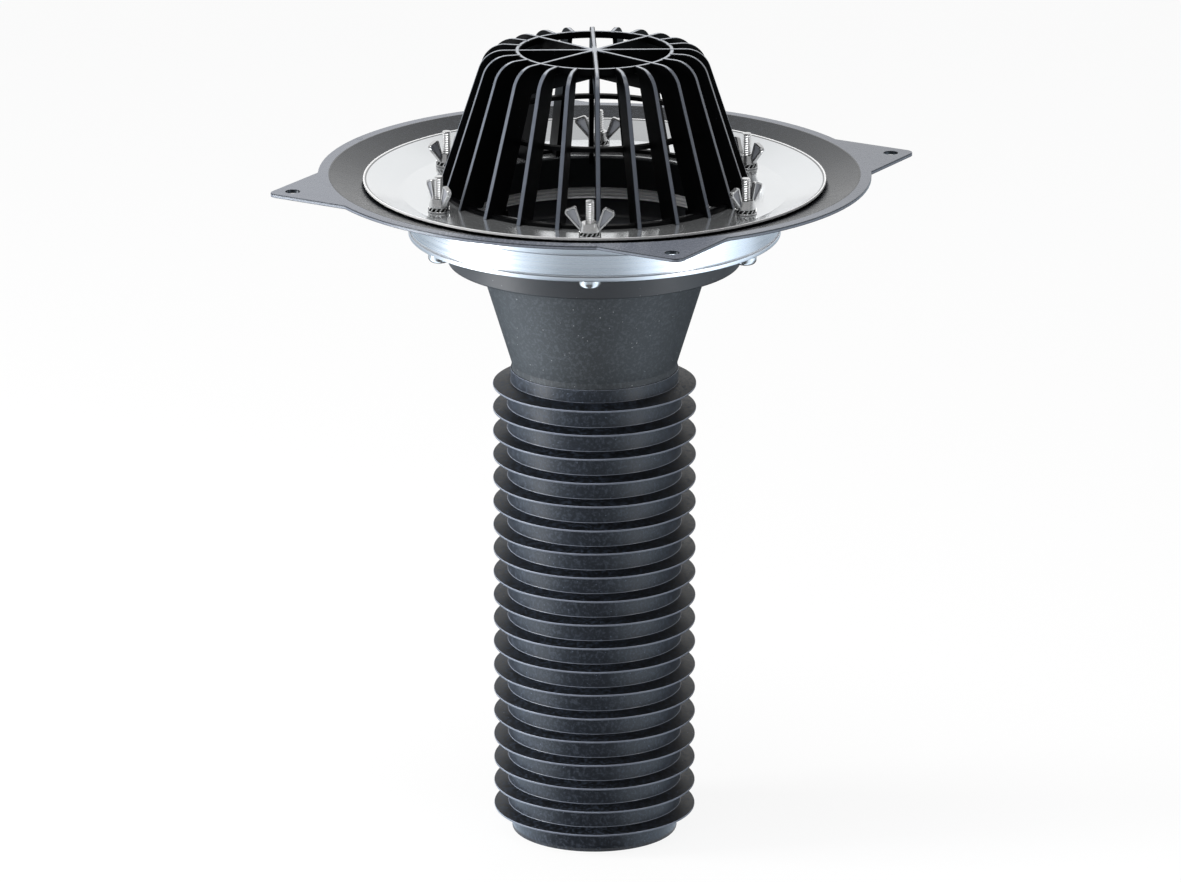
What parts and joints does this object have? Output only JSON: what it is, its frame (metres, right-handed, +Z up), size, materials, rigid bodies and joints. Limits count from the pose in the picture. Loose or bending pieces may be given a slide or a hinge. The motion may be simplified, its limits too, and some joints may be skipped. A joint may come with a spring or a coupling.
{
  "type": "flat roof drain",
  "caption": "Flat roof drain: domed strainer on a bolted clamping plate, flanged rubber collar with fixing ears, clamping ring, funnel and finned connecting hose.",
  "frame": {"origin": "centre of the hose's lower end face, on the drain's axis", "axes": "+Z up along the drain's axis from the hose to the dome; -Y towards the first bolt, which faces the viewer in the picture; +X to the viewer's right"},
  "size_m": [0.3454, 0.3454, 0.4437],
  "materials": {
    "dome_plastic": "black, glossy from the mould",
    "plate_steel": "bright polished stainless sheet",
    "collar_rubber": "grey-black, satin, moulded",
    "ring_aluminium": "turned, satin bright",
    "funnel_plastic": "dark grey, fine matte",
    "hose_rubber": "blue-black, satin",
    "fastener_steel": "bright stainless"
  },
  "bodies": {
    "root": {"dome_strainer": "dome_plastic", "clamping_plate": "plate_steel", "collar": "collar_rubber", "clamping_ring": "ring_aluminium", "funnel": "funnel_plastic", "finned_hose": "hose_rubber", "bolt_1": "fastener_steel", "washer_1": "fastener_steel", "bolt_2": "fastener_steel", "washer_2": "fastener_steel", "bolt_3": "fastener_steel", "washer_3": "fastener_steel", "bolt_4": "fastener_steel", "washer_4": "fastener_steel", "bolt_5": "fastener_steel", "washer_5": "fastener_steel", "bolt_6": "fastener_steel", "washer_6": "fastener_steel"},
    "lock_washer_1": {"lock_washer_1": "fastener_steel"},
    "wing_nut_1": {"wing_nut_1": "fastener_steel"},
    "lock_washer_2": {"lock_washer_2": "fastener_steel"},
    "wing_nut_2": {"wing_nut_2": "fastener_steel"},
    "lock_washer_3": {"lock_washer_3": "fastener_steel"},
    "wing_nut_3": {"wing_nut_3": "fastener_steel"},
    "lock_washer_4": {"lock_washer_4": "fastener_steel"},
    "wing_nut_4": {"wing_nut_4": "fastener_steel"},
    "lock_washer_5": {"lock_washer_5": "fastener_steel"},
    "wing_nut_5": {"wing_nut_5": "fastener_steel"},
    "lock_washer_6": {"lock_washer_6": "fastener_steel"},
    "wing_nut_6": {"wing_nut_6": "fastener_steel"}
  },
  "joints": [
    {"name": "nut_turn_1", "type": "hinge", "parent": "root", "child": "lock_washer_1", "pos_m": [0, -0.095, 0.36841], "axis": [0, 0, 1], "range_deg": [0, 5400]},
    {"name": "nut_lift_1", "type": "slide", "parent": "lock_washer_1", "child": "wing_nut_1", "axis": [0, 0, 1], "range_m": [0, 0.01201]},
    {"name": "nut_turn_2", "type": "hinge", "parent": "root", "child": "lock_washer_2", "pos_m": [0.08227, -0.0475, 0.36841], "axis": [0, 0, 1], "range_deg": [0, 5400]},
    {"name": "nut_lift_2", "type": "slide", "parent": "lock_washer_2", "child": "wing_nut_2", "axis": [0, 0, 1], "range_m": [0, 0.01201]},
    {"name": "nut_turn_3", "type": "hinge", "parent": "root", "child": "lock_washer_3", "pos_m": [0.08227, 0.0475, 0.36841], "axis": [0, 0, 1], "range_deg": [0, 5400]},
    {"name": "nut_lift_3", "type": "slide", "parent": "lock_washer_3", "child": "wing_nut_3", "axis": [0, 0, 1], "range_m": [0, 0.01201]},
    {"name": "nut_turn_4", "type": "hinge", "parent": "root", "child": "lock_washer_4", "pos_m": [0, 0.095, 0.36841], "axis": [0, 0, 1], "range_deg": [0, 5400]},
    {"name": "nut_lift_4", "type": "slide", "parent": "lock_washer_4", "child": "wing_nut_4", "axis": [0, 0, 1], "range_m": [0, 0.01201]},
    {"name": "nut_turn_5", "type": "hinge", "parent": "root", "child": "lock_washer_5", "pos_m": [-0.08227, 0.0475, 0.36841], "axis": [0, 0, 1], "range_deg": [0, 5400]},
    {"name": "nut_lift_5", "type": "slide", "parent": "lock_washer_5", "child": "wing_nut_5", "axis": [0, 0, 1], "range_m": [0, 0.01201]},
    {"name": "nut_turn_6", "type": "hinge", "parent": "root", "child": "lock_washer_6", "pos_m": [-0.08227, -0.0475, 0.36841], "axis": [0, 0, 1], "range_deg": [0, 5400]},
    {"name": "nut_lift_6", "type": "slide", "parent": "lock_washer_6", "child": "wing_nut_6", "axis": [0, 0, 1], "range_m": [0, 0.01201]}
  ],
  "couplings": [
    {"joint": "nut_lift_1", "follows": "nut_turn_1", "m_per_rad": 0.00012732},
    {"joint": "nut_lift_2", "follows": "nut_turn_2", "m_per_rad": 0.00012732},
    {"joint": "nut_lift_3", "follows": "nut_turn_3", "m_per_rad": 0.00012732},
    {"joint": "nut_lift_4", "follows": "nut_turn_4", "m_per_rad": 0.00012732},
    {"joint": "nut_lift_5", "follows": "nut_turn_5", "m_per_rad": 0.00012732},
    {"joint": "nut_lift_6", "follows": "nut_turn_6", "m_per_rad": 0.00012732}
  ]
}
